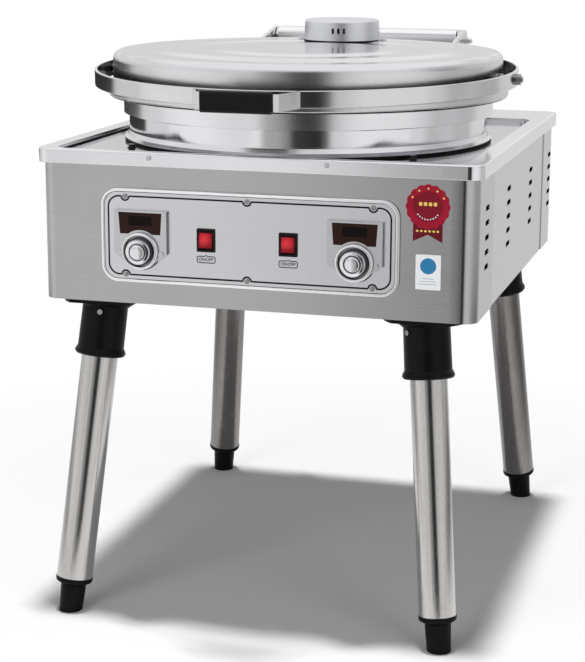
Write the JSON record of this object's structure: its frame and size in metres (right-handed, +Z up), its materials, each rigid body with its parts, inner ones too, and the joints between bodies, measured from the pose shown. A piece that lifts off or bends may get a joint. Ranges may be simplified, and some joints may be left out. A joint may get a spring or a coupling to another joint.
{
  "type": "double-sided electric griddle",
  "caption": "Free-standing stainless griddle on splayed legs, with a round lower pan and an upper pan that tips in a hoop and swings up on a rear hinge.",
  "frame": {"origin": "on the floor, under the middle of the bounding box", "axes": "+Z up, -Y towards the user (control panel), +X to the user's right"},
  "size_m": [0.62, 0.783, 0.8015],
  "materials": {
    "stainless": "satin",
    "bright_stainless": "polished",
    "zinc_steel": "plain",
    "fasteners": "bright",
    "spring_steel": "dark",
    "cast_plate": "satin",
    "heater_tube": "dark",
    "leg_plastic": "moulded",
    "grip_plastic": "moulded",
    "terminal_plastic": "moulded",
    "controller_plastic": "silver",
    "display_plastic": "dark tint",
    "switch_plastic": "black",
    "rocker_plastic": "red"
  },
  "bodies": {
    "stand": {"cabinet_front": "stainless", "cabinet_rear": "stainless", "cabinet_side_left": "stainless", "cabinet_side_right": "stainless", "bottom_plate": "zinc_steel", "deck": "bright_stainless", "deck_screws": "fasteners", "leg_brackets": "zinc_steel", "socket_screws": "fasteners", "control_plate": "stainless", "panel_screws": "fasteners", "controller_left": "controller_plastic", "controller_right": "controller_plastic", "display_left": "display_plastic", "display_right": "display_plastic", "switch_left": "switch_plastic", "switch_right": "switch_plastic", "electrics_board": "zinc_steel", "contactors": "grip_plastic", "terminal_block": "terminal_plastic", "cable_gland": "grip_plastic", "lower_pan_casing": "bright_stainless", "lower_plate": "cast_plate", "lower_element": "heater_tube", "lower_heat_shield": "zinc_steel", "hinge_brackets": "stainless", "hinge_cover": "stainless", "hinge_springs": "spring_steel", "leg_socket_front_left": "leg_plastic", "leg_socket_front_right": "leg_plastic", "leg_socket_rear_left": "leg_plastic", "leg_socket_rear_right": "leg_plastic", "leg_tube_front_left": "stainless", "leg_tube_front_right": "stainless", "leg_tube_rear_left": "stainless", "leg_tube_rear_right": "stainless", "leg_plug_front_left": "leg_plastic", "leg_plug_front_right": "leg_plastic", "leg_plug_rear_left": "leg_plastic", "leg_plug_rear_right": "leg_plastic"},
    "lid_frame": {"hoop": "stainless", "hoop_arms": "stainless", "handle_strap": "stainless", "handle_grip": "grip_plastic", "hinge_shaft": "zinc_steel", "hinge_nuts": "fasteners"},
    "upper_pan": {"lid_cover": "bright_stainless", "upper_plate": "cast_plate", "upper_element": "heater_tube", "lid_cap": "stainless", "cap_screws": "fasteners", "pivot_bolts": "fasteners"},
    "rocker_left": {"rocker_left": "rocker_plastic"},
    "knob_left": {"knob_left": "controller_plastic"},
    "rocker_right": {"rocker_right": "rocker_plastic"},
    "knob_right": {"knob_right": "controller_plastic"},
    "foot_front_left": {"foot_front_left": "leg_plastic"},
    "foot_front_right": {"foot_front_right": "leg_plastic"},
    "foot_rear_left": {"foot_rear_left": "leg_plastic"},
    "foot_rear_right": {"foot_rear_right": "leg_plastic"}
  },
  "joints": [
    {"name": "lid_hinge", "type": "hinge", "parent": "stand", "child": "lid_frame", "pos_m": [0, 0.32705, 0.761], "axis": [-1, 0, 0], "range_deg": [0, 85], "stiffness_Nm_per_rad": 22, "springref_deg": 91.67},
    {"name": "pan_tilt", "type": "hinge", "parent": "lid_frame", "child": "upper_pan", "pos_m": [0, -0.05135, 0.7355], "axis": [1, 0, 0], "range_deg": [-1, 1]},
    {"name": "rocker_left_tilt", "type": "hinge", "parent": "stand", "child": "rocker_left", "pos_m": [-0.063, -0.31645, 0.536], "axis": [1, 0, 0], "range_deg": [0, 14]},
    {"name": "knob_left_turn", "type": "hinge", "parent": "stand", "child": "knob_left", "pos_m": [-0.1535, -0.32695, 0.518], "axis": [0, 1, 0], "range_deg": [0, 270]},
    {"name": "rocker_right_tilt", "type": "hinge", "parent": "stand", "child": "rocker_right", "pos_m": [0.05, -0.31645, 0.536], "axis": [1, 0, 0], "range_deg": [0, 14]},
    {"name": "knob_right_turn", "type": "hinge", "parent": "stand", "child": "knob_right", "pos_m": [0.1405, -0.32695, 0.518], "axis": [0, 1, 0], "range_deg": [0, 270]},
    {"name": "foot_front_left_screw", "type": "slide", "parent": "stand", "child": "foot_front_left", "axis": [-0.0868, -0.1357, -0.9869], "range_m": [0, 0.015]},
    {"name": "foot_front_right_screw", "type": "slide", "parent": "stand", "child": "foot_front_right", "axis": [0.0868, -0.1357, -0.9869], "range_m": [0, 0.015]},
    {"name": "foot_rear_left_screw", "type": "slide", "parent": "stand", "child": "foot_rear_left", "axis": [-0.0868, 0.1357, -0.9869], "range_m": [0, 0.015]},
    {"name": "foot_rear_right_screw", "type": "slide", "parent": "stand", "child": "foot_rear_right", "axis": [0.0868, 0.1357, -0.9869], "range_m": [0, 0.015]}
  ]
}
